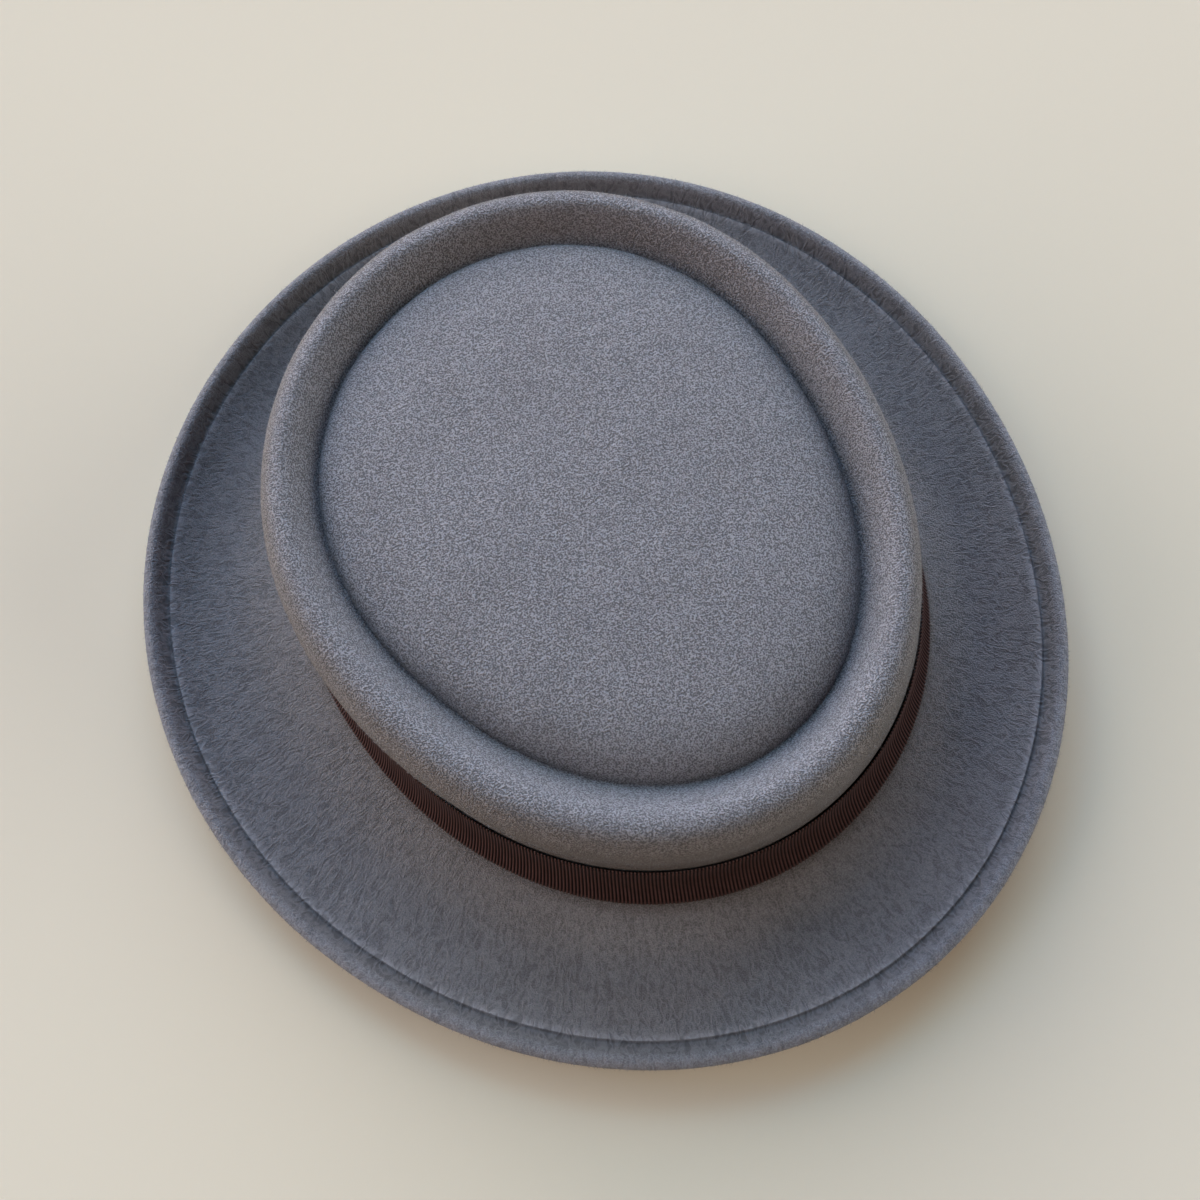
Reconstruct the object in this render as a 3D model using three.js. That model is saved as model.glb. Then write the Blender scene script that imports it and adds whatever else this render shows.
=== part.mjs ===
// Porkpie hat of pressed felt, in millimetres. X runs across the hat, its front is at -Y, and it
// rests on Z = 0 on the underside of its brim, with the middle of its outline at X = Y = 0.
// Crown and brim are one moulded piece of felt, hollow where the head goes in, and a ribbon lies
// round the foot of the crown.

import * as THREE from 'three';

// Driving dimensions
const FELT_THICKNESS = 2.2;
const RIBBON_THICKNESS = 0.8;
const RIBBON_GAP = 0.3;
const FACETS_ROUND = 60;

// The brim's edge is turned over into a roll: half its width and half its depth, and how steeply
// it lies on the brim.
const ROLL = { halfWidth: 4.0, halfDepth: 2.1, slope: THREE.MathUtils.degToRad(30), steps: 9 };

// Shape of the outline seen from above, and its tilt, at growing distances from the middle.
// mean is the mean radius of a ring. oval makes it longer than wide, egg draws its front to a
// point, skew turns its length aside, and back and side move its middle. lean raises its front,
// and sway raises front and back.
const RINGS = [
  { mean: 0, oval: 0, egg: 0, skew: 0, back: 4.9, side: 2.0, lean: 0, sway: 0 },
  { mean: 59, oval: 5.05, egg: 1.3, skew: -0.3, back: 5.7, side: 1.8, lean: -2.4, sway: -0.7 },
  { mean: 68, oval: 5.8, egg: 1.5, skew: -0.3, back: 5.9, side: 1.8, lean: -4.4, sway: -1.2 },
  { mean: 75, oval: 5.7, egg: 1.2, skew: -0.6, back: 5.3, side: 1.3, lean: -4.0, sway: -1.3 },
  { mean: 84, oval: 5.6, egg: 0.9, skew: -1.0, back: 4.5, side: 0.6, lean: -3.8, sway: -1.3 },
  { mean: 88.8, oval: 6.5, egg: 0, skew: 0.3, back: 6.4, side: 5.5, lean: 0, sway: 0 },
  { mean: 94, oval: 7.4, egg: -0.5, skew: 0.3, back: 4.7, side: 4.5, lean: 0, sway: 0 },
  { mean: 104.5, oval: 6.3, egg: 0.3, skew: 0, back: 4.2, side: 3.2, lean: 0, sway: 0 },
  { mean: 127.8, oval: 4.2, egg: 1.4, skew: 0, back: 1.8, side: 0.5, lean: 4.4, sway: 1.9 },
  { mean: 135, oval: 4.4, egg: 1.4, skew: 0, back: 1.4, side: 0, lean: 3.9, sway: 1.7 },
];

// Section of the felt's upper side, from the middle of the tip out to the seam of the edge roll.
// Between the rest rows its underside lies flat on Z = 0.
const SECTION = [
  { at: 'middle', mean: 0, height: 87.0 },
  { at: 'tip', mean: 22, height: 86.6 },
  { at: 'tip', mean: 40, height: 85.6 },
  { at: 'tip', mean: 52, height: 84.2 },
  { at: 'tip edge', mean: 59.0, height: 82.7 },
  { at: 'tip edge', mean: 63.6, height: 80.9 },
  { at: 'tip edge', mean: 66.4, height: 78.9 },
  { at: 'groove', mean: 67.8, height: 77.0 },
  { at: 'groove', mean: 68.4, height: 75.6 },
  { at: 'groove', mean: 69.4, height: 76.4 },
  { at: 'ridge', mean: 71.0, height: 79.0 },
  { at: 'ridge', mean: 72.8, height: 82.2 },
  { at: 'ridge', mean: 74.6, height: 84.8 },
  { at: 'ridge', mean: 76.5, height: 86.2 },
  { at: 'ridge', mean: 78.8, height: 86.0 },
  { at: 'ridge', mean: 81.2, height: 84.1 },
  { at: 'ridge', mean: 83.0, height: 80.7 },
  { at: 'shoulder', mean: 84.3, height: 75.6 },
  { at: 'wall', mean: 85.2, height: 66.0 },
  { at: 'wall', mean: 87.0, height: 44.0 },
  { at: 'ribbon', mean: 88.8, height: 25.0 },
  { at: 'ribbon', mean: 90.1, height: 15.0 },
  { at: 'ribbon', mean: 91.7, height: 9.0 },
  { at: 'ribbon', mean: 94.0, height: 5.2 },
  { at: 'rest', mean: 98.0, height: 2.2 },
  { at: 'rest', mean: 104.5, height: 2.2 },
  { at: 'brim', mean: 112.5, height: 3.6 },
  { at: 'brim', mean: 120.5, height: 6.3 },
  { at: 'seam', mean: 127.8, height: 10.0 },
];

// Slope of a column of RINGS at a row, flat where the column turns, so that it never overshoots
function columnSlope(row, column) {
  const rise = (k) => (RINGS[k + 1][column] - RINGS[k][column]) / (RINGS[k + 1].mean - RINGS[k].mean);
  if (row === 0) return rise(0);
  if (row === RINGS.length - 1) return rise(row - 1);
  const before = rise(row - 1);
  const after = rise(row);
  return before * after > 0 ? (2 * before * after) / (before + after) : 0;
}

// Value of a column of RINGS at any mean radius
function ringValue(column, mean) {
  const last = RINGS.length - 2;
  const found = RINGS.findIndex((ring, k) => k > 0 && mean <= ring.mean);
  const row = found < 0 ? last : found - 1;
  const low = RINGS[row];
  const high = RINGS[row + 1];
  const span = high.mean - low.mean;
  const t = Math.min((mean - low.mean) / span, 1);
  const t2 = t * t;
  const t3 = t2 * t;
  return low[column] * (2 * t3 - 3 * t2 + 1)
    + columnSlope(row, column) * span * (t3 - 2 * t2 + t)
    + high[column] * (3 * t2 - 2 * t3)
    + columnSlope(row + 1, column) * span * (t3 - t2);
}

// A section point in space. ring is the mean radius that the point takes its outline from, so
// that both sides of the felt keep one outline and the wall one thickness.
function pointAt(section, angle) {
  const value = (column) => ringValue(column, section.ring);
  const bulge = value('oval') * Math.cos(2 * angle)
    + value('egg') * Math.cos(3 * angle)
    + value('skew') * Math.sin(2 * angle);
  const radius = section.mean > 0 ? section.mean + bulge : 0;
  const lift = value('lean') * Math.cos(angle) + value('sway') * Math.cos(2 * angle);
  return new THREE.Vector3(
    value('side') + radius * Math.sin(angle),
    value('back') - radius * Math.cos(angle),
    section.height + lift,
  );
}

// Closed body between section lines that are carried round the hat. A loop closes on itself, and
// a line that isn't a loop starts and ends on the middle axis.
function carriedRound(line, closed, material, name) {
  const vertices = [];
  const triangles = [];
  const first = [];
  for (const section of line) {
    first.push(vertices.length / 3);
    const copies = section.mean > 0 ? FACETS_ROUND : 1;
    for (let facet = 0; facet < copies; facet += 1) {
      vertices.push(...pointAt(section, (2 * Math.PI * facet) / FACETS_ROUND).toArray());
    }
  }
  const vertex = (row, facet) => first[row] + (line[row].mean > 0 ? facet % FACETS_ROUND : 0);
  const rows = closed ? line.length : line.length - 1;
  for (let row = 0; row < rows; row += 1) {
    const next = (row + 1) % line.length;
    for (let facet = 0; facet < FACETS_ROUND; facet += 1) {
      const a = vertex(row, facet);
      const b = vertex(row, facet + 1);
      const c = vertex(next, facet + 1);
      const d = vertex(next, facet);
      if (a !== b) triangles.push(a, c, b);
      if (c !== d) triangles.push(a, d, c);
    }
  }
  const geometry = new THREE.BufferGeometry();
  geometry.setAttribute('position', new THREE.Float32BufferAttribute(vertices, 3));
  geometry.setIndex(triangles);
  geometry.computeVertexNormals();
  const mesh = new THREE.Mesh(geometry, material);
  mesh.name = name;
  return mesh;
}

// The felt's upper side, each point on the outline of its own mean radius
function upperSide() {
  return SECTION.map((row) => ({ ...row, ring: row.mean }));
}

// The same line moved sideways by a distance, to its left as it runs out from the middle. The
// line leaves the middle level, and reaches the seam at the slope of the edge roll.
function movedAside(line, distance) {
  return line.map((point, k) => {
    const before = line[Math.max(k - 1, 0)];
    const after = line[Math.min(k + 1, line.length - 1)];
    let along = new THREE.Vector2(after.mean - before.mean, after.height - before.height);
    if (k === 0) along = new THREE.Vector2(1, 0);
    if (point.at === 'seam') along = new THREE.Vector2(Math.cos(ROLL.slope), Math.sin(ROLL.slope));
    along.normalize();
    return {
      at: point.at,
      mean: point.mean - along.y * distance,
      height: point.height + along.x * distance,
      ring: point.ring,
    };
  });
}

// The rolled edge, from the seam over the top of the roll and round to the underside of the brim
function edgeRoll(seam) {
  const along = new THREE.Vector2(Math.cos(ROLL.slope), Math.sin(ROLL.slope));
  const up = new THREE.Vector2(-along.y, along.x);
  const rise = ROLL.halfDepth - FELT_THICKNESS;
  const start = Math.PI + Math.asin(rise / ROLL.halfDepth);
  const end = -Math.PI / 2;
  const reach = -ROLL.halfWidth * Math.cos(start);
  const centre = new THREE.Vector2(seam.mean, seam.height)
    .addScaledVector(along, reach)
    .addScaledVector(up, rise);
  const line = [];
  for (let step = 1; step <= ROLL.steps; step += 1) {
    const turn = start + ((end - start) * step) / ROLL.steps;
    const point = centre.clone()
      .addScaledVector(along, ROLL.halfWidth * Math.cos(turn))
      .addScaledVector(up, ROLL.halfDepth * Math.sin(turn));
    line.push({ at: 'roll', mean: point.x, height: point.y, ring: point.x });
  }
  return line;
}

// Crown and brim in one piece of felt. Its underside lies flat where the hat rests.
function feltBody() {
  const upper = upperSide();
  const roll = edgeRoll(upper[upper.length - 1]);
  const under = movedAside(upper, -FELT_THICKNESS);
  under.filter((point) => point.at === 'rest').forEach((point) => {
    point.height = 0;
  });
  const felt = new THREE.MeshStandardMaterial({ color: 0x6f7079, roughness: 0.95, metalness: 0 });
  return carriedRound([...upper, ...roll, ...under.reverse()], false, felt, 'felt_crown_and_brim');
}

// Ribbon round the foot of the crown, laid along the rows of the section that are marked for it
function ribbonBand() {
  const upper = upperSide();
  const inner = movedAside(upper, RIBBON_GAP).filter((point) => point.at === 'ribbon');
  const outer = movedAside(upper, RIBBON_GAP + RIBBON_THICKNESS)
    .filter((point) => point.at === 'ribbon');
  const ribbon = new THREE.MeshStandardMaterial({ color: 0x33221f, roughness: 0.7, metalness: 0 });
  return carriedRound([...outer, ...inner.reverse()], true, ribbon, 'ribbon_band');
}

const porkpieHat = new THREE.Group();
porkpieHat.name = 'porkpie_hat';
porkpieHat.add(feltBody());
porkpieHat.add(ribbonBand());

export default porkpieHat;
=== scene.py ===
import math

import bpy
import numpy as np
from mathutils import Matrix, Vector, noise


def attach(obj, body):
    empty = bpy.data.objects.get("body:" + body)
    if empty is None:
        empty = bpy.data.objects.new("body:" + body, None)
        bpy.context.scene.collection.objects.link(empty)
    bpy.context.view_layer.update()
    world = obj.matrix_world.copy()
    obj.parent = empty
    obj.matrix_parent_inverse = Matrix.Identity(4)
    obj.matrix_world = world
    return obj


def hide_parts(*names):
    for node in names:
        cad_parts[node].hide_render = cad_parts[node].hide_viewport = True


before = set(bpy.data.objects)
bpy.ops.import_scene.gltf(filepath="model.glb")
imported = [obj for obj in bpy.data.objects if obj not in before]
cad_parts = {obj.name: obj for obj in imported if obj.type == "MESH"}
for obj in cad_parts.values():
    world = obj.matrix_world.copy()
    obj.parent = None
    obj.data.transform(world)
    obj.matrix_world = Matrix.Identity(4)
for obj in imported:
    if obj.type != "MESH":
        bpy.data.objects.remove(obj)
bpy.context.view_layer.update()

# Lengths in the tables below are in millimetres, as a hatter gives them. Blender gets metres.
MM = 0.001

# The photograph's viewpoint: where it looks, from how far, and turned from the hat's front
CAMERA_AIM = (-7.4, -6.7, 40.0)
CAMERA_DISTANCE = 411.5
CAMERA_TURN = math.radians(-38.36)
CAMERA_HEIGHT = math.radians(75.8)
CAMERA_ROLL = math.radians(-3.06)
CAMERA_LENS = 45.15
CAMERA_SENSOR = 36.0

# Felt. Outside the foot's mean radius it lies no lower than on the floor.
FELT_THICKNESS = 2.2
FELT_COLUMNS = 600
FOOT_RADIUS = 96.0

# The felt's comb lines run round a drum of this radius, and stretch along the felt by this much
COMB_RADIUS = 110.0
COMB_STRETCH = 0.45

# Rows of the felt's mesh: the most that a line turns, and the most that it runs, from row to row
OUTER_ROWS = math.radians(9), 4.0
INNER_ROWS = math.radians(15), 9.0
EDGE_ROWS = math.radians(13), 1.2
RIBBON_ROWS = math.radians(7), 3.0

# Soft waves of hand-shaped felt: their size, their share of the unevenness, and their seed
WAVES = [(34.0, 1.0, 3.0), (13.0, 0.4, 8.0)]

# The brim's cut lip wavers: over what width, by how much, in waves of what size, and their seed
LIP_WIDTH = 0.5
LIP_WAVER = 0.22
LIP_WAVE_SIZE = 2.6
LIP_SEED = 5.0

# A fibre of the nap narrows to its tip, sweeps aside and droops, by shares of its width and
# length. Its size is drawn between two shares, and its tint makes it light, plain or dark.
FIBRE_TAPER = 0.8
FIBRE_SWEEP = 0.35
FIBRE_DROOP = 0.25
SMALLEST_FIBRE = 0.5
LARGEST_FIBRE = 1.4
LIGHT_ABOVE = 0.55
DARK_BELOW = 0.25
FIBRE_ROUGHNESS = 0.9

# Ribbon: the part of the crown that it covers, how far it stands off the felt, and how far down
# its upper edge stands off further
RIBBON_TOP = 25.0
RIBBON_FOOT = 5.2
RIBBON_FOOT_RADIUS = 94.1
RIBBON_GAP = 0.3
RIBBON_TOP_GAP = 0.62
RIBBON_TOP_REACH = 2.5
RIBBON_THICKNESS = 0.8

# Its ribs: how many, how deep the weave is between them, how full they are, and how far the upper
# edge dips between them
RIBBON_RIBS = 568
RIBBON_COLUMNS_A_RIB = 6
RIBBON_RIB_DEPTH = 0.3
RIBBON_RIB_FULLNESS = 0.8
RIBBON_RIB_END = 0.16

# The ribbon's lapped end on the wearer's left: where it is, how long, how far it stands out, how
# many times shorter its slope is than the lap, and the stitches that hold it
LAP_ANGLE = math.radians(96)
LAP_LENGTH = math.radians(9)
LAP_HEIGHT = 0.45
LAP_SLOPE = 3
LAP_STITCHES = 8
STITCH_ANGLE = LAP_ANGLE + math.radians(0.55)
STITCH_LENGTH = 1.7
THREAD_RADIUS = 0.13

# Shape of the hat's outline seen from above, and its tilt, at growing distances from the middle.
# The columns are the mean radius of a ring; oval, which makes it longer than wide; egg, which
# draws its front to a point; skew, which turns its length aside; back and side, which move its
# middle; lean, which raises its front; and sway, which raises front and back.
RINGS = np.array([
    (0.0, 0.0, 0.0, 0.0, 4.9, 2.0, 0.0, 0.0),
    (59.0, 5.05, 1.3, -0.3, 5.7, 1.8, -2.4, -0.7),
    (68.0, 5.8, 1.5, -0.3, 5.9, 1.8, -4.4, -1.2),
    (75.0, 5.7, 1.2, -0.6, 5.3, 1.3, -4.0, -1.3),
    (84.0, 5.6, 0.9, -1.0, 4.5, 0.6, -3.8, -1.3),
    (88.8, 6.5, 0.0, 0.3, 6.4, 5.5, 0.0, 0.0),
    (94.0, 7.4, -0.5, 0.3, 4.7, 4.5, 0.0, 0.0),
    (104.5, 6.3, 0.3, 0.0, 4.2, 3.2, 0.0, 0.0),
    (127.8, 4.2, 1.4, 0.0, 1.8, 0.5, 4.4, 1.9),
    (135.0, 4.4, 1.4, 0.0, 1.4, 0.0, 3.9, 1.7),
])

# Section of the felt's upper side, from the middle of the tip out to the brim's lip: the place,
# the mean radius and the height
SECTION = [
    ("tip", 0.0, 87.0),
    ("tip", 22.0, 86.6),
    ("tip", 40.0, 85.6),
    ("tip", 52.0, 84.2),
    ("tip", 59.0, 82.7),
    ("tip", 63.6, 80.9),
    ("tip", 66.4, 78.9),
    ("tip", 67.8, 77.0),
    ("groove", 68.4, 75.6),
    ("ridge_foot", 69.4, 76.4),
    ("ridge_foot", 71.0, 79.0),
    ("ridge_foot", 72.8, 82.2),
    ("ridge", 74.6, 84.8),
    ("ridge", 76.5, 86.2),
    ("ridge", 78.8, 86.0),
    ("shoulder", 81.2, 84.1),
    ("shoulder", 83.0, 80.7),
    ("wall", 84.3, 75.6),
    ("wall", 85.2, 66.0),
    ("wall", 87.0, 44.0),
    ("ribbon", 88.8, 25.0),
    ("ribbon", 90.1, 15.0),
    ("ribbon", 91.7, 9.0),
    ("ribbon", 94.0, 5.2),
    ("rest", 98.0, 2.2),
    ("rest", 104.5, 2.2),
    ("brim", 112.5, 3.6),
    ("brim", 120.5, 6.3),
    ("brim", 127.8, 10.0),
]

# Section of the rolled edge, measured from the brim's lip: along the brim's slope, and up from it.
# The lip stands over a gutter, from which the roll comes up and goes round to the underside.
EDGE_SLOPE = math.radians(30)
EDGE = [
    ("lip", 0.0, 0.16),
    ("lip", 0.25, 0.06),
    ("gutter", 0.36, -0.4),
    ("gutter", 0.7, -0.85),
    ("gutter", 1.5, -0.75),
    ("roll_foot", 2.6, -0.2),
    ("roll_foot", 3.8, 0.6),
    ("roll", 5.0, 1.3),
    ("roll", 6.2, 1.45),
    ("roll", 7.2, 0.85),
    ("roll", 7.8, -0.3),
    ("roll", 7.3, -1.5),
    ("roll", 6.0, -2.15),
    ("roll", 4.6, -2.2),
]

# How the felt is finished at each place: its painted light and shade, lighter on the tip, ridge and
# lip's edge and darker on the shoulder, wall, brim, gutter and roll's foot where less light falls;
# its painted warm bounce, brown light cast up from the floor, mostly on the shoulder, wall and
# rest; how far its fibres are combed outwards, how thick its nap stands on the crown and on the
# brim, how many stray hairs it has, and how far it strays from a true shape in millimetres
FINISH_COLUMNS = (
    "shade", "warmth", "combed", "crown_nap", "brim_nap", "stray_hairs", "unevenness"
)
NAP_COLUMNS = ("crown_nap", "brim_nap", "stray_hairs")
FINISH = {
    "tip": (1.16, 0.05, 0.0, 1.0, 0.0, 0.1, 0.5),
    "groove": (0.95, 0.1, 0.0, 0.4, 0.0, 0.0, 0.1),
    "ridge_foot": (1.0, 0.0, 0.0, 0.7, 0.0, 0.0, 0.1),
    "ridge": (1.08, 0.0, 0.0, 1.0, 0.0, 1.0, 0.3),
    "shoulder": (0.84, 0.5, 0.0, 1.0, 0.0, 0.8, 0.3),
    "wall": (0.64, 0.6, 0.0, 1.0, 0.0, 0.3, 0.2),
    "ribbon": (0.55, 0.6, 0.3, 0.0, 0.0, 0.0, 0.0),
    "rest": (0.9, 0.5, 0.6, 0.0, 0.8, 0.0, 0.0),
    "brim": (0.75, 0.0, 0.7, 0.0, 1.0, 0.1, 0.3),
    "lip": (1.05, 0.0, 1.0, 0.0, 0.6, 0.1, 0.3),
    "gutter": (0.62, 0.0, 1.0, 0.0, 0.4, 0.0, 0.3),
    "roll_foot": (0.76, 0.0, 0.8, 0.0, 0.8, 0.0, 0.3),
    "roll": (0.96, 0.0, 0.6, 0.0, 1.0, 1.0, 0.3),
}

# Soft lamps of the studio, all of one width. Each lights the hat from a turn about it, where 0 is
# its front and 90 its wearer's left, at a height above the floor, all in degrees, with a strength
# and a colour.
LAMP_WIDTH = 60
LAMPS = [
    ("low_back_left_lamp", 141, 15, 1.68, (1.0, 0.34, 0.03)),
    ("low_back_lamp", 186, 15, 2.55, (1.0, 0.78, 0.41)),
    ("low_back_right_lamp", 231, 15, 2.28, (1.0, 0.78, 0.75)),
    ("low_front_left_lamp", 51, 15, 2.25, (0.97, 1.0, 0.99)),
    ("back_left_lamp", 141, 32, 2.95, (0.31, 0.68, 1.0)),
    ("back_lamp", 186, 32, 1.08, (0.0, 0.33, 1.0)),
    ("back_right_lamp", 231, 32, 0.69, (0.22, 0.78, 1.0)),
    ("warm_right_lamp", 276, 32, 0.45, (1.0, 0.5, 0.12)),
    ("warm_front_lamp", 6, 32, 0.2, (1.0, 0.42, 0.16)),
]

# The studio's floor, and the faint light that comes from everywhere
FLOOR_SIZE = 6
FLOOR_COLOUR = (0.64, 0.567, 0.445)
FLOOR_ROUGHNESS = 0.9
SKY_COLOUR = (0.92, 0.87, 0.84)
SKY_STRENGTH = 0.01


def ring_slopes():
    """Slope of each column of RINGS at its rows, flat where a column turns."""
    rise = np.diff(RINGS[:, 1:], axis=0) / np.diff(RINGS[:, :1], axis=0)
    before, after = rise[:-1], rise[1:]
    same_way = before * after > 0
    middle = np.where(same_way, 2 * before * after / np.where(same_way, before + after, 1), 0)
    return np.vstack([rise[:1], middle, rise[-1:]])


def ring_values(mean):
    """Columns of RINGS after the first, at any mean radii."""
    row = np.clip(np.searchsorted(RINGS[:, 0], mean) - 1, 0, len(RINGS) - 2)
    low, high = RINGS[row], RINGS[row + 1]
    slopes = ring_slopes()
    span = (high - low)[:, :1]
    t = np.clip((mean[:, None] - low[:, :1]) / span, 0, 1)
    return (
        low[:, 1:] * (2 * t**3 - 3 * t**2 + 1)
        + slopes[row] * span * (t**3 - 2 * t**2 + t)
        + high[:, 1:] * (3 * t**2 - 2 * t**3)
        + slopes[row + 1] * span * (t**3 - t**2)
    )


def round_the_hat(mean, height, ring, angles):
    """Points in metres of section points carried round the hat. mean and height are grids with a
    row for each section point and a column for each angle, and ring is the mean radius that each
    row takes its outline from. Angle 0 is the front."""
    oval, egg, skew, back, side, lean, sway = (v[:, None] for v in ring_values(ring).T)
    turn = angles[None, :]
    bulge = oval * np.cos(2 * turn) + egg * np.cos(3 * turn) + skew * np.sin(2 * turn)
    radius = np.where(mean > 0, mean + bulge, 0)
    x = side + radius * np.sin(turn)
    y = back - radius * np.cos(turn)
    z = height + lean * np.cos(turn) + sway * np.cos(2 * turn)
    return np.stack([x, y, np.maximum(z, 0)], axis=-1) * MM


def smooth_line(points, steps=24):
    """Centripetal Catmull-Rom curve through points in the section plane, with a number of steps
    to each span. Further columns are carried along the curve."""
    points = np.asarray(points, float)
    ends = 2 * points[0] - points[1], 2 * points[-1] - points[-2]
    around = np.vstack([ends[0], points, ends[1]])
    spans = np.linalg.norm(np.diff(around[:, :2], axis=0), axis=1)
    knots = np.concatenate([[0], np.cumsum(spans**0.5)])
    line = []
    for k in range(1, len(around) - 2):
        t0, t1, t2, t3 = knots[k - 1 : k + 3]
        p0, p1, p2, p3 = around[k - 1 : k + 3]
        t = np.linspace(t1, t2, steps, endpoint=False)[:, None]
        a1 = (p0 * (t1 - t) + p1 * (t - t0)) / (t1 - t0)
        a2 = (p1 * (t2 - t) + p2 * (t - t1)) / (t2 - t1)
        a3 = (p2 * (t3 - t) + p3 * (t - t2)) / (t3 - t2)
        b1 = (a1 * (t2 - t) + a2 * (t - t0)) / (t2 - t0)
        b2 = (a2 * (t3 - t) + a3 * (t - t1)) / (t3 - t1)
        line.append((b1 * (t2 - t) + b2 * (t - t1)) / (t2 - t1))
    return np.vstack([*line, points[-1:]])


def normals_of(line):
    """Unit vectors to the left of a line in the section plane."""
    along = np.gradient(line[:, :2], axis=0)
    along /= np.linalg.norm(along, axis=1, keepdims=True)
    return np.stack([-along[:, 1], along[:, 0]], axis=1)


def thinned(line, most_turn, most_step):
    """Rows of a fine line that keep its shape: fewer where it is straight."""
    along = np.diff(line[:, :2], axis=0)
    step = np.linalg.norm(along, axis=1)
    heading = np.unwrap(np.arctan2(along[:, 1], along[:, 0]))
    kept, last_turn, length = [0], heading[0], 0.0
    for k in range(1, len(line) - 1):
        length += step[k - 1]
        if abs(heading[k] - last_turn) > most_turn or length > most_step:
            kept.append(k)
            last_turn, length = heading[k], 0.0
    return np.array([*kept, len(line) - 1])


def felt_section():
    """The felt's rows, from the middle of the tip over the crown and brim, round the rolled edge
    and back along the inside: mean radius and height, the ring that a row takes its outline from,
    the direction that unevenness moves it in, its finish, and how far along the felt it is."""
    upper = smooth_line([(mean, height, *FINISH[place]) for place, mean, height in SECTION])
    outside = upper[:, 0] > FOOT_RADIUS
    upper[:, 1] = np.maximum(upper[:, 1], np.where(outside, FELT_THICKNESS, 0))
    side = normals_of(upper)
    side[0] = 0, 1
    rows = thinned(upper, *OUTER_ROWS)[:-1]
    under = upper.copy()
    under[:, :2] -= FELT_THICKNESS * side
    under[:, 1] = np.maximum(under[:, 1], 0)
    under[:, [2 + FINISH_COLUMNS.index(name) for name in NAP_COLUMNS]] = 0
    under_rows = thinned(upper, *INNER_ROWS)[::-1]
    seam = upper[-1, :2]
    along = np.array([math.cos(EDGE_SLOPE), math.sin(EDGE_SLOPE)])
    up = np.array([-along[1], along[0]])
    edge = smooth_line([(*(seam + a * along + u * up), *FINISH[place]) for place, a, u in EDGE])
    edge = edge[thinned(edge, *EDGE_ROWS)]
    line = np.vstack([upper[rows], edge, under[under_rows]])
    ring = np.concatenate([upper[rows, 0], edge[:, 0], upper[under_rows, 0]])
    pushed = np.vstack([side[rows], np.repeat(up[None], len(edge), axis=0), side[under_rows]])
    steps = np.linalg.norm(np.diff(line[:, :2], axis=0), axis=1)
    reach = np.concatenate([[0], np.cumsum(steps)])
    finish = dict(zip(FINISH_COLUMNS, np.maximum(line[:, 2:], 0).T))
    return line[:, :2], ring, pushed, finish, reach


def soft_waves(ring, angles, size, seed):
    """Smooth noise between -1 and 1 over the hat, with waves of a size in millimetres. Both sides
    of the felt get the same value."""
    x = ring[:, None] * np.sin(angles)[None] / size
    y = ring[:, None] * np.cos(angles)[None] / size
    points = zip(x.ravel().tolist(), y.ravel().tolist())
    values = [noise.noise(Vector((a, b, seed))) for a, b in points]
    return np.reshape(values, x.shape)


def add_mesh(name, points, faces):
    """An object at the origin with its place in its mesh, shaded smooth."""
    mesh = bpy.data.meshes.new(name)
    mesh.from_pydata(points.reshape(-1, 3).tolist(), [], faces)
    mesh.update()
    mesh.shade_smooth()
    piece = bpy.data.objects.new(name, mesh)
    bpy.context.scene.collection.objects.link(piece)
    return piece


def quads(rows, columns, close_rows=False):
    """Faces of a grid whose columns close round the hat."""
    row_count = rows if close_rows else rows - 1
    row, column = np.meshgrid(np.arange(row_count), np.arange(columns), indexing="ij")
    below, beside = (row + 1) % rows, (column + 1) % columns
    faces = np.stack([
        row * columns + column,
        below * columns + column,
        below * columns + beside,
        row * columns + beside,
    ], axis=-1)
    return faces.reshape(-1, 4)


def add_attribute(piece, name, values):
    """A number or a vector for each vertex, which a material or a tree reads."""
    values = np.asarray(values, float)
    kind, field = ("FLOAT_VECTOR", "vector") if values.ndim == 2 else ("FLOAT", "value")
    layer = piece.data.attributes.new(name, kind, "POINT")
    layer.data.foreach_set(field, values.ravel())


def add_node(tree, kind, inputs=None, **settings):
    """A node with its settings, whose inputs are values or other nodes' outputs."""
    node = tree.nodes.new(kind)
    for name, value in settings.items():
        setattr(node, name, value)
    for name, value in (inputs or {}).items():
        if isinstance(value, bpy.types.NodeSocket):
            tree.links.new(value, node.inputs[name])
        else:
            node.inputs[name].default_value = value
    return node


def maths(tree, operation, *values, clamp=False):
    """Output of a Math node."""
    inputs = dict(enumerate(values))
    return add_node(tree, "ShaderNodeMath", inputs, operation=operation, use_clamp=clamp).outputs[0]


def new_tree(name, sockets):
    """A Geometry Nodes tree with named inputs, and its input node."""
    tree = bpy.data.node_groups.new(name, "GeometryNodeTree")
    for label, kind in sockets:
        tree.interface.new_socket(label, in_out="INPUT", socket_type=kind)
    tree.interface.new_socket("Geometry", in_out="OUTPUT", socket_type="NodeSocketGeometry")
    return tree, tree.nodes.new("NodeGroupInput").outputs


def grown_on(base, tree, name, values):
    """A plain mesh piece that a tree makes from a base piece."""
    modifier = base.modifiers.new(name, "NODES")
    modifier.node_group = tree
    for socket in tree.interface.items_tree:
        if socket.in_out == "INPUT" and socket.name in values:
            modifier[socket.identifier] = values[socket.name]
    depsgraph = bpy.context.evaluated_depsgraph_get()
    mesh = bpy.data.meshes.new_from_object(
        base.evaluated_get(depsgraph), preserve_all_data_layers=True, depsgraph=depsgraph
    )
    base.modifiers.remove(modifier)
    mesh.name = name
    piece = bpy.data.objects.new(name, mesh)
    bpy.context.scene.collection.objects.link(piece)
    return piece


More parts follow.
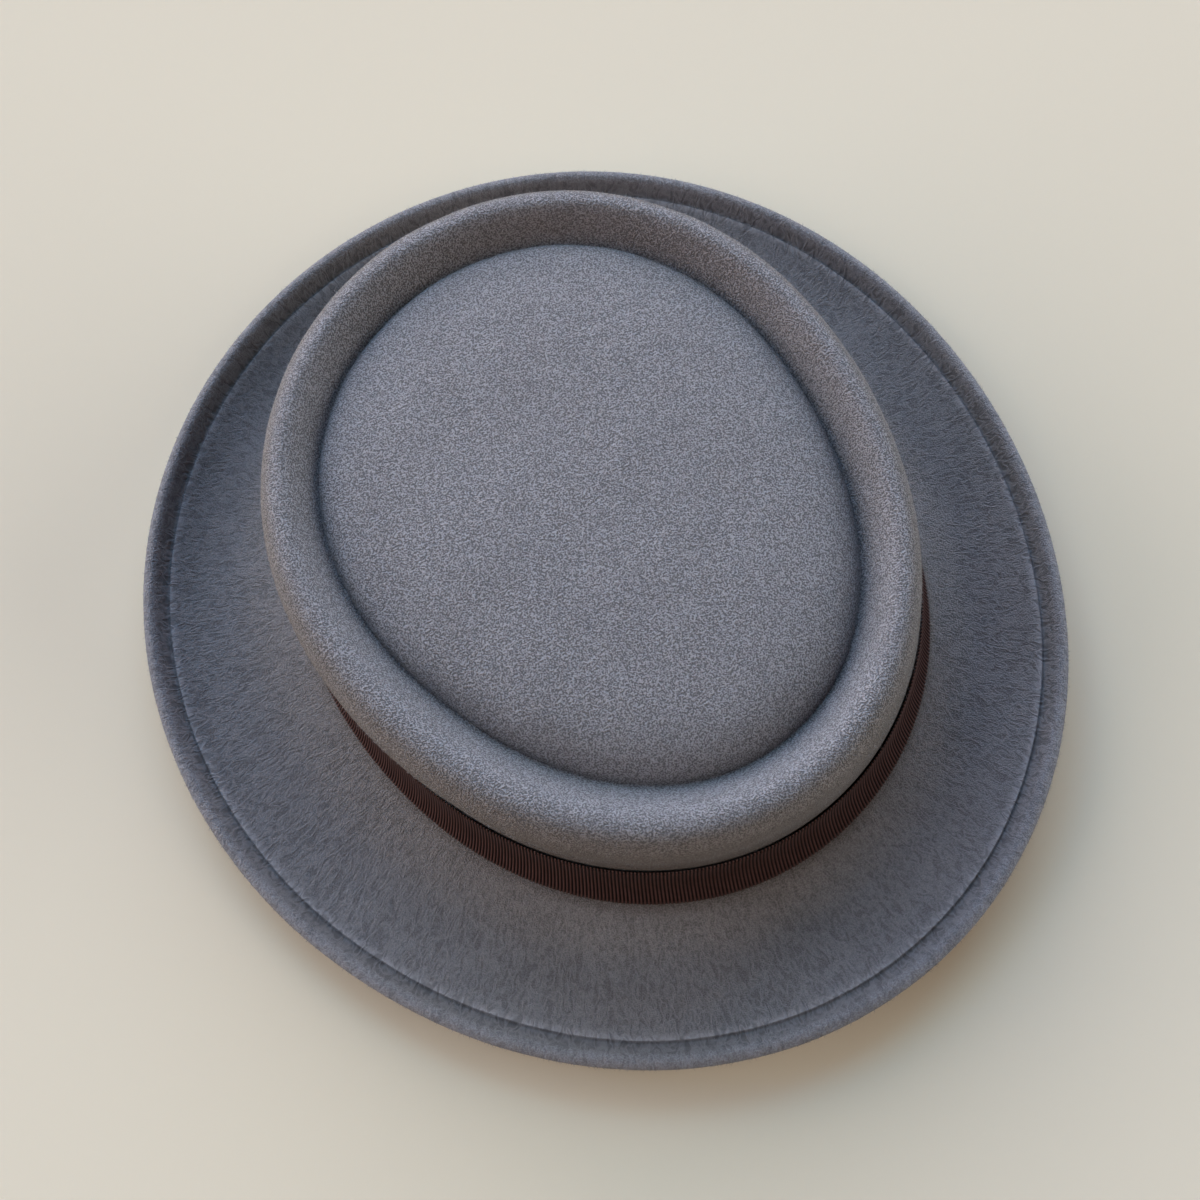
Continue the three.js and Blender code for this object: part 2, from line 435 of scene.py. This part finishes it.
def nap_tree():
    """Short bent fibres that lie on the felt. Nap is the attribute that says where they grow, and
    Combed turns them outwards from the crown, with Spread either way."""
    tree, given = new_tree("short_fibres_on_felt", [
        ("Geometry", "NodeSocketGeometry"),
        ("Nap", "NodeSocketString"),
        ("Fibres a square metre", "NodeSocketFloat"),
        ("Fibre length", "NodeSocketFloat"),
        ("Fibre width", "NodeSocketFloat"),
        ("Lowest stand", "NodeSocketFloat"),
        ("Highest stand", "NodeSocketFloat"),
        ("Combed", "NodeSocketFloat"),
        ("Spread", "NodeSocketFloat"),
        ("Seed", "NodeSocketInt"),
        ("Fibre", "NodeSocketMaterial"),
        ("Light fibre", "NodeSocketMaterial"),
        ("Dark fibre", "NodeSocketMaterial"),
    ])
    nap = add_node(
        tree, "GeometryNodeInputNamedAttribute", {"Name": given["Nap"]}, data_type="FLOAT"
    ).outputs["Attribute"]
    density = maths(tree, "MULTIPLY", nap, given["Fibres a square metre"])
    roots = add_node(
        tree,
        "GeometryNodeDistributePointsOnFaces",
        {"Mesh": given["Geometry"], "Density": density, "Seed": given["Seed"]},
    )
    blade = add_node(
        tree,
        "GeometryNodeMeshGrid",
        {"Size X": given["Fibre width"], "Size Y": given["Fibre length"], "Vertices X": 2,
         "Vertices Y": 3},
    ).outputs["Mesh"]
    place = add_node(
        tree,
        "ShaderNodeSeparateXYZ",
        {0: add_node(tree, "GeometryNodeInputPosition").outputs[0]},
    ).outputs
    along = maths(tree, "ADD", maths(tree, "DIVIDE", place[1], given["Fibre length"]), 0.5)
    bend = maths(tree, "MULTIPLY", maths(tree, "MULTIPLY", along, along), given["Fibre length"])
    taper = maths(tree, "SUBTRACT", 1.0, maths(tree, "MULTIPLY", along, FIBRE_TAPER))
    aside = maths(tree, "ADD", maths(tree, "MULTIPLY", place[0], taper),
                  maths(tree, "MULTIPLY", bend, FIBRE_SWEEP))
    ahead = maths(tree, "MULTIPLY", along, given["Fibre length"])
    droop = maths(tree, "MULTIPLY", bend, -FIBRE_DROOP)
    bent = add_node(tree, "ShaderNodeCombineXYZ", {0: aside, 1: ahead, 2: droop}).outputs[0]
    blade = add_node(
        tree, "GeometryNodeSetPosition", {"Geometry": blade, "Position": bent}
    ).outputs[0]

    def chance(low, high, salt):
        """A number between two others, drawn anew for each fibre. Each salt gives other draws."""
        return add_node(
            tree,
            "FunctionNodeRandomValue",
            {2: low, 3: high, 8: maths(tree, "ADD", given["Seed"], salt)},
            data_type="FLOAT",
        ).outputs[1]

    outwards = add_node(
        tree,
        "ShaderNodeVectorMath",
        {0: add_node(tree, "GeometryNodeInputPosition").outputs[0], 1: (1.0, 1.0, 0.0)},
        operation="MULTIPLY",
    ).outputs[0]
    combed = add_node(
        tree,
        "FunctionNodeAlignRotationToVector",
        {"Rotation": roots.outputs["Rotation"], "Factor": given["Combed"], "Vector": outwards},
        axis="Y",
        pivot_axis="Z",
    ).outputs[0]
    turn = chance(maths(tree, "MULTIPLY", given["Spread"], -1.0), given["Spread"], 11)
    stand = chance(given["Lowest stand"], given["Highest stand"], 23)
    turned = add_node(
        tree,
        "FunctionNodeAxisAngleToRotation",
        {"Axis": (0.0, 0.0, 1.0), "Angle": turn},
    ).outputs[0]
    stood = add_node(
        tree,
        "FunctionNodeAxisAngleToRotation",
        {"Axis": (1.0, 0.0, 0.0), "Angle": stand},
    ).outputs[0]
    for step in (turned, stood):
        combed = add_node(
            tree,
            "FunctionNodeRotateRotation",
            {"Rotation": combed, "Rotate By": step},
            rotation_space="LOCAL",
        ).outputs[0]
    size = chance(SMALLEST_FIBRE, LARGEST_FIBRE, 37)
    fibres = add_node(
        tree,
        "GeometryNodeInstanceOnPoints",
        {"Points": roots.outputs["Points"], "Instance": blade, "Rotation": combed, "Scale": size},
    ).outputs[0]
    tint = chance(0.0, 1.0, 53)
    fibres = add_node(
        tree,
        "GeometryNodeStoreNamedAttribute",
        {"Geometry": fibres, "Name": "tint", "Value": tint},
        data_type="FLOAT",
        domain="INSTANCE",
    ).outputs[0]
    mesh = add_node(tree, "GeometryNodeRealizeInstances", {"Geometry": fibres}).outputs[0]
    mesh = add_node(
        tree, "GeometryNodeSetMaterial", {"Geometry": mesh, "Material": given["Fibre"]}
    ).outputs[0]
    tint = add_node(
        tree, "GeometryNodeInputNamedAttribute", {"Name": "tint"}, data_type="FLOAT"
    ).outputs["Attribute"]
    for label, operation, limit in (
        ("Light fibre", "GREATER_THAN", LIGHT_ABOVE),
        ("Dark fibre", "LESS_THAN", DARK_BELOW),
    ):
        mesh = add_node(
            tree,
            "GeometryNodeSetMaterial",
            {"Geometry": mesh, "Selection": maths(tree, operation, tint, limit),
             "Material": given[label]},
        ).outputs[0]
    add_node(tree, "NodeGroupOutput", {"Geometry": mesh})
    return tree


def felt_body(material):
    """Crown, brim and rolled edge in one closed mesh, with the attributes that its wool and its
    nap read."""
    line, ring, pushed, finish, reach = felt_section()
    angles = np.linspace(0, 2 * math.pi, FELT_COLUMNS, endpoint=False)
    waves = sum(share * soft_waves(ring, angles, size, seed) for size, share, seed in WAVES)
    waves *= finish["unevenness"][:, None]
    lip_radius = SECTION[-1][1]
    lip = np.exp(-(((ring - lip_radius) / LIP_WIDTH) ** 2)) * (finish["brim_nap"] > 0)
    waves += LIP_WAVER * lip[:, None] * soft_waves(ring, angles, LIP_WAVE_SIZE, LIP_SEED)
    waves[ring == 0] = waves[0, 0]
    mean = line[:, :1] + pushed[:, :1] * waves
    height = line[:, 1:] + pushed[:, 1:] * waves
    mean[ring == 0] = 0
    grid = round_the_hat(mean, height, ring, angles)
    rows = len(line)
    inner = quads(rows - 2, FELT_COLUMNS) + 1
    first = [(0, 1 + c, 1 + (c + 1) % FELT_COLUMNS) for c in range(FELT_COLUMNS)]
    end = (rows - 2) * FELT_COLUMNS
    last = [
        (end + 1, end + 1 - FELT_COLUMNS + (c + 1) % FELT_COLUMNS, end + 1 - FELT_COLUMNS + c)
        for c in range(FELT_COLUMNS)
    ]

    def each_vertex(values):
        """A grid of values as the vertices have them, with the two ends on the middle axis."""
        values = np.broadcast_to(values, (rows, FELT_COLUMNS) + values.shape[2:])
        inner_rows = values[1:-1].reshape(-1, *values.shape[2:])
        return np.concatenate([values[0, :1], inner_rows, values[-1, :1]])

    piece = add_mesh("felt_crown_and_brim_fine", each_vertex(grid), first + inner.tolist() + last)
    for name in FINISH_COLUMNS[:-1]:
        add_attribute(piece, name, each_vertex(finish[name][:, None]))
    comb = np.empty((rows, FELT_COLUMNS, 3))
    comb[..., 0] = np.cos(angles) * COMB_RADIUS * MM
    comb[..., 1] = np.sin(angles) * COMB_RADIUS * MM
    comb[..., 2] = reach[:, None] * COMB_STRETCH * MM
    add_attribute(piece, "comb_lines", each_vertex(comb))
    piece.data.materials.append(material)
    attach(piece, "root")
    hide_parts("felt_crown_and_brim")
    return piece


def felt_nap(felt, fibres):
    """The felt's nap in three pieces: short fibres on the crown, others on the brim, and stray
    hairs."""
    tree = nap_tree()
    naps = {
        "nap_on_the_crown": {
            "Nap": "crown_nap", "Fibres a square metre": 0.86e6, "Fibre length": 1.1 * MM,
            "Fibre width": 0.06 * MM, "Lowest stand": 0.02, "Highest stand": 0.7,
            "Combed": 0.0, "Spread": math.pi, "Seed": 4,
        },
        "nap_on_the_brim": {
            "Nap": "brim_nap", "Fibres a square metre": 1.0e6, "Fibre length": 1.3 * MM,
            "Fibre width": 0.1 * MM, "Lowest stand": 0.02, "Highest stand": 0.25,
            "Combed": 1.0, "Spread": 1.3, "Seed": 9,
        },
        "stray_hairs": {
            "Nap": "stray_hairs", "Fibres a square metre": 0.6e6, "Fibre length": 0.9 * MM,
            "Fibre width": 0.05 * MM, "Lowest stand": 0.3, "Highest stand": 1.4,
            "Combed": 0.0, "Spread": math.pi, "Seed": 14,
        },
    }
    for name, values in naps.items():
        wool = dict(zip(("Fibre", "Light fibre", "Dark fibre"), fibres[name]))
        piece = grown_on(felt, tree, name, values | wool)
        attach(piece, "root")


def ribbon_tree():
    """Raises the ribs of a ribbed ribbon. Across is the attribute that counts ribs along it, and
    Face the attribute that is 1 on its outer side."""
    tree, given = new_tree("ribs_across_the_ribbon", [
        ("Geometry", "NodeSocketGeometry"),
        ("Across", "NodeSocketString"),
        ("Face", "NodeSocketString"),
        ("Rib depth", "NodeSocketFloat"),
        ("Ribbon", "NodeSocketMaterial"),
    ])
    across, face = (
        add_node(
            tree, "GeometryNodeInputNamedAttribute", {"Name": given[label]}, data_type="FLOAT"
        ).outputs["Attribute"]
        for label in ("Across", "Face")
    )
    wave = maths(tree, "COSINE", maths(tree, "MULTIPLY", across, 2 * math.pi))
    rounded = maths(tree, "MULTIPLY_ADD", wave, 0.5, 0.5)
    rib = maths(tree, "POWER", rounded, RIBBON_RIB_FULLNESS)
    sunk = maths(tree, "MULTIPLY", maths(tree, "SUBTRACT", rib, 1.0), face)
    depth = maths(tree, "MULTIPLY", sunk, given["Rib depth"])
    offset = add_node(
        tree,
        "ShaderNodeVectorMath",
        {0: add_node(tree, "GeometryNodeInputNormal").outputs[0], "Scale": depth},
        operation="SCALE",
    ).outputs[0]
    mesh = add_node(
        tree, "GeometryNodeSetPosition", {"Geometry": given["Geometry"], "Offset": offset}
    ).outputs[0]
    mesh = add_node(
        tree,
        "GeometryNodeStoreNamedAttribute",
        {"Geometry": mesh, "Name": "rib", "Value": rib},
        data_type="FLOAT",
        domain="POINT",
    ).outputs[0]
    mesh = add_node(tree, "GeometryNodeRealizeInstances", {"Geometry": mesh}).outputs[0]
    mesh = add_node(
        tree, "GeometryNodeSetMaterial", {"Geometry": mesh, "Material": given["Ribbon"]}
    ).outputs[0]
    add_node(tree, "NodeGroupOutput", {"Geometry": mesh})
    return tree


def stitch_tree():
    """A row of short stitches along a line of edges."""
    tree, given = new_tree("stitches_along_a_seam", [
        ("Geometry", "NodeSocketGeometry"),
        ("Stitches", "NodeSocketInt"),
        ("Stitch length", "NodeSocketFloat"),
        ("Thread radius", "NodeSocketFloat"),
        ("Thread", "NodeSocketMaterial"),
    ])
    seam = add_node(tree, "GeometryNodeMeshToCurve", {"Mesh": given["Geometry"]}).outputs[0]
    seam = add_node(
        tree, "GeometryNodeResampleCurve", {"Curve": seam, "Count": given["Stitches"]}
    ).outputs[0]
    radius = given["Thread radius"]
    half_length = maths(tree, "MULTIPLY", given["Stitch length"], 0.5)
    size = add_node(
        tree, "ShaderNodeCombineXYZ", {0: radius, 1: radius, 2: half_length}
    ).outputs[0]
    bead = add_node(
        tree, "GeometryNodeMeshUVSphere", {"Segments": 10, "Rings": 8, "Radius": 1.0}
    ).outputs["Mesh"]
    along = add_node(
        tree,
        "FunctionNodeAlignRotationToVector",
        {"Vector": add_node(tree, "GeometryNodeInputTangent").outputs[0]},
        axis="Z",
    ).outputs[0]
    stitches = add_node(
        tree,
        "GeometryNodeInstanceOnPoints",
        {"Points": seam, "Instance": bead, "Rotation": along, "Scale": size},
    ).outputs[0]
    mesh = add_node(tree, "GeometryNodeRealizeInstances", {"Geometry": stitches}).outputs[0]
    mesh = add_node(tree, "GeometryNodeSetShadeSmooth", {"Geometry": mesh}).outputs[0]
    mesh = add_node(
        tree, "GeometryNodeSetMaterial", {"Geometry": mesh, "Material": given["Thread"]}
    ).outputs[0]
    add_node(tree, "NodeGroupOutput", {"Geometry": mesh})
    return tree


def ribbon_band(material, thread):
    """The ribbed ribbon with its lapped end, and the stitches that hold that end."""
    upper = smooth_line([(mean, height) for _, mean, height in SECTION])
    left = normals_of(upper)
    covered = (upper[:, 1] <= RIBBON_TOP) & (upper[:, 1] >= RIBBON_FOOT)
    covered &= upper[:, 0] < RIBBON_FOOT_RADIUS
    foot, side = upper[covered], left[covered]
    rows = thinned(foot, *RIBBON_ROWS)
    foot, side = foot[rows], side[rows]
    reach = np.concatenate([[0], np.cumsum(np.linalg.norm(np.diff(foot, axis=0), axis=1))])
    gap = RIBBON_GAP + (RIBBON_TOP_GAP - RIBBON_GAP) * np.exp(-reach / RIBBON_TOP_REACH)
    outer = foot + side * (RIBBON_GAP + RIBBON_THICKNESS)
    inner = foot + side * gap[:, None]
    line = np.vstack([outer, inner[::-1]])
    ring = np.concatenate([foot[:, 0], foot[::-1, 0]])
    columns = RIBBON_RIBS * RIBBON_COLUMNS_A_RIB
    angles = np.linspace(0, 2 * math.pi, columns, endpoint=False)
    mean = np.repeat(line[:, :1], columns, axis=1)
    height = np.repeat(line[:, 1:], columns, axis=1)
    past = (angles - LAP_ANGLE) / LAP_LENGTH
    lap = np.where((past >= 0) & (past < 1), np.clip(LAP_SLOPE - LAP_SLOPE * past, 0, 1), 0)
    mean[: len(outer)] += LAP_HEIGHT * lap
    ribs = np.cos(angles * RIBBON_RIBS) * 0.5 + 0.5
    height[0] += RIBBON_RIB_END * (ribs - 1)
    height[-1] += RIBBON_RIB_END * (ribs - 1)
    grid = round_the_hat(mean, height, ring, angles)
    band = add_mesh("ribbon_without_ribs", grid, quads(len(line), columns, True).tolist())
    on_face = np.concatenate([np.ones(len(outer)), np.zeros(len(inner))])
    reach = np.concatenate([reach, reach[::-1]])
    across = np.arange(columns) / RIBBON_COLUMNS_A_RIB
    add_attribute(band, "face", np.repeat(on_face, columns))
    add_attribute(band, "across", np.tile(across, len(line)))
    weave = np.empty((len(line), columns, 3))
    weave[..., 0] = np.cos(angles) * COMB_RADIUS * MM
    weave[..., 1] = np.sin(angles) * COMB_RADIUS * MM
    weave[..., 2] = reach[:, None] * MM
    add_attribute(band, "weave", weave.reshape(-1, 3))
    piece = grown_on(band, ribbon_tree(), "ribbon_band_ribbed", {
        "Across": "across", "Face": "face", "Rib depth": RIBBON_RIB_DEPTH * MM,
        "Ribbon": material,
    })
    bpy.data.objects.remove(band)
    stitched = outer[1:-1, :1] + LAP_HEIGHT, outer[1:-1, 1:]
    seam = round_the_hat(*stitched, foot[1:-1, 0], np.array([STITCH_ANGLE]))
    seam_line = add_mesh("seam_line", seam, [])
    seam_line.data.edges.add(len(seam) - 1)
    for k, edge in enumerate(seam_line.data.edges):
        edge.vertices = k, k + 1
    stitches = grown_on(seam_line, stitch_tree(), "stitches_of_the_lapped_end", {
        "Stitches": LAP_STITCHES, "Stitch length": STITCH_LENGTH * MM,
        "Thread radius": THREAD_RADIUS * MM, "Thread": thread,
    })
    bpy.data.objects.remove(seam_line)
    for part in (piece, stitches):
        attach(part, "root")
    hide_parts("ribbon_band")


def new_material(name):
    """A material with its node tree and its shader."""
    material = bpy.data.materials.new(name)
    material.use_nodes = True
    return material, material.node_tree, material.node_tree.nodes["Principled BSDF"]


def plain(name, colour, roughness):
    """One colour all over, for fibres thinner than any pattern and for the studio's floor."""
    material, _, shader = new_material(name)
    shader.inputs["Base Color"].default_value = (*colour, 1)
    shader.inputs["Roughness"].default_value = roughness
    return material


def pattern(tree, place, scale, detail, roughness, distortion=0.0):
    """Output of a Noise Texture node, with a scale in waves a metre."""
    inputs = {"Vector": place, "Scale": scale, "Detail": detail, "Roughness": roughness,
              "Distortion": distortion}
    return add_node(tree, "ShaderNodeTexNoise", inputs).outputs["Fac"]


def attribute(tree, name, output="Fac"):
    """Output of a node that reads a piece's attribute."""
    return add_node(tree, "ShaderNodeAttribute", attribute_name=name).outputs[output]


def crossing_lines(tree, value, sharpness):
    """Thin lines where a pattern passes its middle value, 1 on the line and 0 away from it."""
    away = maths(tree, "ABSOLUTE", maths(tree, "SUBTRACT", value, 0.5))
    return maths(tree, "SUBTRACT", 1.0, maths(tree, "MULTIPLY", away, sharpness), clamp=True)


def steepened(tree, value, gain):
    """A pattern with more contrast about its middle value."""
    above = maths(tree, "SUBTRACT", value, 0.5)
    return maths(tree, "MULTIPLY_ADD", above, gain, 0.5, clamp=True)


def blended(tree, factor, low, high, mode="MIX"):
    """Output of a colour Mix node. Colours are given with three numbers."""
    low, high = (c if isinstance(c, bpy.types.NodeSocket) else (*c, 1) for c in (low, high))
    node = add_node(tree, "ShaderNodeMix", {0: factor, 6: low, 7: high}, data_type="RGBA",
                    blend_type=mode)
    return node.outputs[2]


def coloured(tree, shader, colour, depth):
    """Gives a shader its colour, made lighter or darker by a pattern."""
    grey = add_node(tree, "ShaderNodeCombineColor", {0: depth, 1: depth, 2: depth}).outputs[0]
    colour = blended(tree, 1.0, colour, grey, "MULTIPLY")
    tree.links.new(colour, shader.inputs["Base Color"])


def roughened(tree, shader, relief, strength, depth):
    """Gives a shader a relief as deep as so many millimetres."""
    inputs = {"Strength": strength, "Distance": depth * MM, "Height": relief}
    bump = add_node(tree, "ShaderNodeBump", inputs)
    tree.links.new(bump.outputs["Normal"], shader.inputs["Normal"])


def felt_wool():
    """Pressed wool: tangled fibres on the crown, combed ones on the brim, with mottled dye, painted
    light and shade at each place and a painted warm bounce from the floor.
    """
    material, tree, shader = new_material("felt_wool")
    here = add_node(tree, "ShaderNodeTexCoord").outputs["Object"]
    combed = attribute(tree, "combed")
    comb_lines = attribute(tree, "comb_lines", "Vector")
    aslant = add_node(tree, "ShaderNodeVectorRotate", {"Vector": here, "Rotation": (0.6, 0.9, 0.4)},
                      rotation_type="EULER_XYZ").outputs[0]
    tangle = pattern(tree, aslant, scale=2400, detail=0.0, roughness=0.5, distortion=0.2)
    tangle = steepened(tree, tangle, gain=3.4)
    streaks = pattern(tree, comb_lines, scale=520, detail=1.0, roughness=0.5, distortion=0.9)
    streaks = crossing_lines(tree, streaks, sharpness=6.0)
    streaks = maths(tree, "MULTIPLY_ADD", streaks, 0.58, 0.16)
    fibres = add_node(tree, "ShaderNodeMix", {0: combed, 2: tangle, 3: streaks}).outputs[0]
    fuzz = pattern(tree, here, scale=3400, detail=2.0, roughness=0.6)
    patches = pattern(tree, here, scale=58, detail=3.0, roughness=0.55)
    dye = pattern(tree, here, scale=260, detail=3.0, roughness=0.6)
    wool = blended(tree, dye, (0.186, 0.188, 0.21), (0.2, 0.194, 0.206))
    # Painted warm bounce: the wool is mixed towards brown where warm light from the floor would
    # reach it
    wool = blended(tree, attribute(tree, "warmth"), wool, (0.205, 0.186, 0.176))
    depth = maths(tree, "MULTIPLY_ADD", fibres, 0.9, 0.58)
    depth = maths(tree, "MULTIPLY", depth, maths(tree, "MULTIPLY_ADD", fuzz, 0.5, 0.75))
    depth = maths(tree, "MULTIPLY", depth, maths(tree, "MULTIPLY_ADD", patches, 0.2, 0.9))
    # Painted light and shade: the wool is made lighter or darker at each place by how much light
    # falls there
    depth = maths(tree, "MULTIPLY", depth, attribute(tree, "shade"))
    coloured(tree, shader, wool, depth)
    relief = maths(tree, "MULTIPLY_ADD", fuzz, 0.5, fibres)
    roughened(tree, shader, relief, strength=1.0, depth=0.35)
    shader.inputs["Roughness"].default_value = 0.95
    shader.inputs["Specular IOR Level"].default_value = 0.2
    shader.inputs["Sheen Weight"].default_value = 0.06
    shader.inputs["Sheen Roughness"].default_value = 0.5
    shader.inputs["Sheen Tint"].default_value = (1.0, 0.9, 0.82, 1)
    return material


def grosgrain():
    """Ribbed silk-like ribbon: painted light on its rounded ribs and painted shade, near black, in
    the weave between them.
    """
    material, tree, shader = new_material("grosgrain")
    rib = attribute(tree, "rib")
    weave = attribute(tree, "weave", "Vector")
    threads = pattern(tree, weave, scale=3200, detail=1.0, roughness=0.5)
    slubs = pattern(tree, weave, scale=240, detail=2.0, roughness=0.6)
    # Painted light on the rib tops and painted shade in the grooves between them
    rib_top_light_and_groove_shade = maths(tree, "MULTIPLY", rib, rib)
    thread = blended(tree, rib_top_light_and_groove_shade, (0.002, 0.001, 0.001), (0.105, 0.052, 0.046))
    depth = maths(tree, "MULTIPLY_ADD", threads, 0.7, 0.65)
    depth = maths(tree, "MULTIPLY", depth, maths(tree, "MULTIPLY_ADD", slubs, 0.6, 0.7))
    coloured(tree, shader, thread, depth)
    roughened(tree, shader, threads, strength=0.4, depth=0.08)
    shader.inputs["Roughness"].default_value = 0.5
    shader.inputs["Specular IOR Level"].default_value = 0.14
    shader.inputs["Sheen Weight"].default_value = 0.02
    shader.inputs["Sheen Roughness"].default_value = 0.5
    shader.inputs["Sheen Tint"].default_value = (1.0, 0.75, 0.68, 1)
    return material


def look_from_the_photograph():
    """The scene's camera, rolled about its line of sight as the photograph's was."""
    level = math.cos(CAMERA_HEIGHT)
    ahead = Vector((
        -math.sin(CAMERA_TURN) * level,
        math.cos(CAMERA_TURN) * level,
        -math.sin(CAMERA_HEIGHT),
    ))
    right = ahead.cross(Vector((0, 0, 1))).normalized()
    up = right.cross(ahead)
    cosine, sine = math.cos(CAMERA_ROLL), math.sin(CAMERA_ROLL)
    right, up = cosine * right + sine * up, cosine * up - sine * right
    data = bpy.data.cameras.new("camera")
    data.lens = CAMERA_LENS
    data.sensor_width = CAMERA_SENSOR
    data.clip_start, data.clip_end = 0.01, 20
    camera = bpy.data.objects.new("camera", data)
    bpy.context.scene.collection.objects.link(camera)
    place = Vector(CAMERA_AIM) * MM - ahead * CAMERA_DISTANCE * MM
    turned = Matrix((right, up, -ahead)).transposed().to_4x4()
    camera.matrix_world = Matrix.Translation(place) @ turned
    bpy.context.scene.camera = camera


def studio():
    """A plain pale floor, soft lamps far off, and a faint light from everywhere."""
    bpy.context.scene.view_settings.view_transform = "Standard"
    bpy.ops.mesh.primitive_plane_add(size=FLOOR_SIZE)
    floor = bpy.context.object
    floor.name = "floor"
    floor.data.materials.append(plain("pale_floor", FLOOR_COLOUR, FLOOR_ROUGHNESS))
    world = bpy.context.scene.world or bpy.data.worlds.new("world")
    bpy.context.scene.world = world
    world.use_nodes = True
    background = world.node_tree.nodes["Background"]
    background.inputs["Color"].default_value = (*SKY_COLOUR, 1)
    background.inputs["Strength"].default_value = SKY_STRENGTH
    for name, turn, height, strength, colour in LAMPS:
        light = bpy.data.lights.new(name, "SUN")
        light.angle = math.radians(LAMP_WIDTH)
        light.energy = strength
        light.color = colour
        lamp = bpy.data.objects.new(name, light)
        turn, height = math.radians(turn), math.radians(height)
        level = math.cos(height)
        towards = Vector((math.sin(turn) * level, -math.cos(turn) * level, math.sin(height)))
        lamp.rotation_euler = towards.to_track_quat("Z", "Y").to_euler()
        bpy.context.scene.collection.objects.link(lamp)


look_from_the_photograph()
felt = felt_body(felt_wool())
crown_fibres = [
    plain("wool_fibre", (0.2, 0.202, 0.227), FIBRE_ROUGHNESS),
    plain("light_wool_fibre", (0.31, 0.31, 0.33), FIBRE_ROUGHNESS),
    plain("dark_wool_fibre", (0.1, 0.1, 0.11), FIBRE_ROUGHNESS),
]
# Darker than the crown's fibres, to carry the brim's painted shade
brim_fibres_in_painted_shade = [
    plain("brim_wool_fibre", (0.162, 0.162, 0.183), FIBRE_ROUGHNESS),
    plain("light_brim_wool_fibre", (0.198, 0.199, 0.224), FIBRE_ROUGHNESS),
    plain("dark_brim_wool_fibre", (0.1, 0.103, 0.12), FIBRE_ROUGHNESS),
]
felt_nap(felt, {
    "nap_on_the_crown": crown_fibres,
    "nap_on_the_brim": brim_fibres_in_painted_shade,
    "stray_hairs": crown_fibres,
})
ribbon_band(grosgrain(), plain("ribbon_thread", (0.03, 0.017, 0.015), 0.6))
studio()
